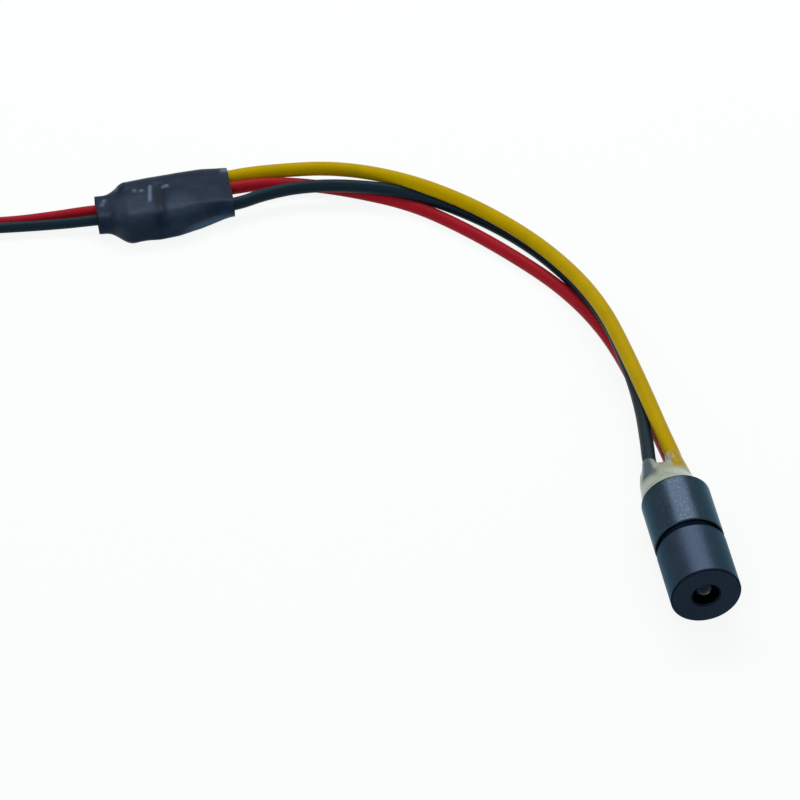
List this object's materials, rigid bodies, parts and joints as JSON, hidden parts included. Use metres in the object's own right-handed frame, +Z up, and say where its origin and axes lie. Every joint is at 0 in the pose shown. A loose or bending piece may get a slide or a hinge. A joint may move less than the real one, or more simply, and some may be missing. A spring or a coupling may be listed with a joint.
{
  "type": "laser diode module",
  "caption": "Slim black two-piece barrel with a lens and laser diode, glued-in leads to a driver board in heat-shrink, and a short supply pair wound up behind it.",
  "frame": {"origin": "centre of the barrel's front face, on the beam's axis", "axes": "the beam leaves along -Y, +Z is up, and the module lies on a table 4 mm below the axis"},
  "size_m": [0.0944, 0.0844, 0.008],
  "materials": {
    "front_anodised": "black anodised, soft satin",
    "rear_anodised": "black anodised, turned and glinting",
    "lens_glass": "coated, clear",
    "spring_steel": "drawn wire",
    "gold_plate": "gold plated",
    "seal_glass": "dark sealing glass",
    "submount_ceramic": "fired, matt",
    "bare_chip": "polished semiconductor",
    "cap_nickel": "nickel plated",
    "window_glass": "flat, clear",
    "ring_brass": "turned",
    "solder": "bright tin solder",
    "yellow_insulation": "soft insulation, satin gloss",
    "black_insulation": "soft insulation, satin gloss",
    "red_insulation": "soft insulation, satin gloss",
    "milky_glue": "set hot glue, cloudy",
    "heat_shrink": "shrunk tubing, satin",
    "board_laminate": "green solder mask",
    "package_black": "moulded epoxy",
    "tantalum_ochre": "moulded epoxy",
    "capacitor_tan": "fired, matt",
    "resistor_dark": "glazed",
    "coil_insulation": "soft insulation, satin gloss",
    "tinned_wire": "twisted and tinned",
    "tie_plastic": "soft band"
  },
  "bodies": {
    "root": {"front_barrel": "front_anodised", "rear_barrel": "rear_anodised", "collimating_lens": "lens_glass", "focus_spring": "spring_steel", "diode_stem": "gold_plate", "pin_glass_seals": "seal_glass", "diode_pins": "gold_plate", "heat_sink_post": "gold_plate", "chip_submount": "submount_ceramic", "laser_chip": "bare_chip", "monitor_photodiode": "bare_chip", "diode_cap": "cap_nickel", "diode_window": "window_glass", "diode_retaining_ring": "ring_brass", "pin_solder_joints": "solder", "yellow_lead": "yellow_insulation", "black_lead": "black_insulation", "red_lead": "red_insulation", "glue_potting": "milky_glue", "heat_shrink_sleeve": "heat_shrink", "driver_board": "board_laminate", "driver_ic": "package_black", "drive_transistor": "package_black", "tantalum_capacitor": "tantalum_ochre", "ceramic_capacitor": "capacitor_tan", "chip_resistors": "resistor_dark", "supply_coil": "coil_insulation", "red_supply_lead": "red_insulation", "black_supply_lead": "black_insulation", "red_supply_tip": "tinned_wire", "black_supply_tip": "tinned_wire", "coil_tie": "tie_plastic", "board_solder_joints": "solder"}
  },
  "joints": []
}
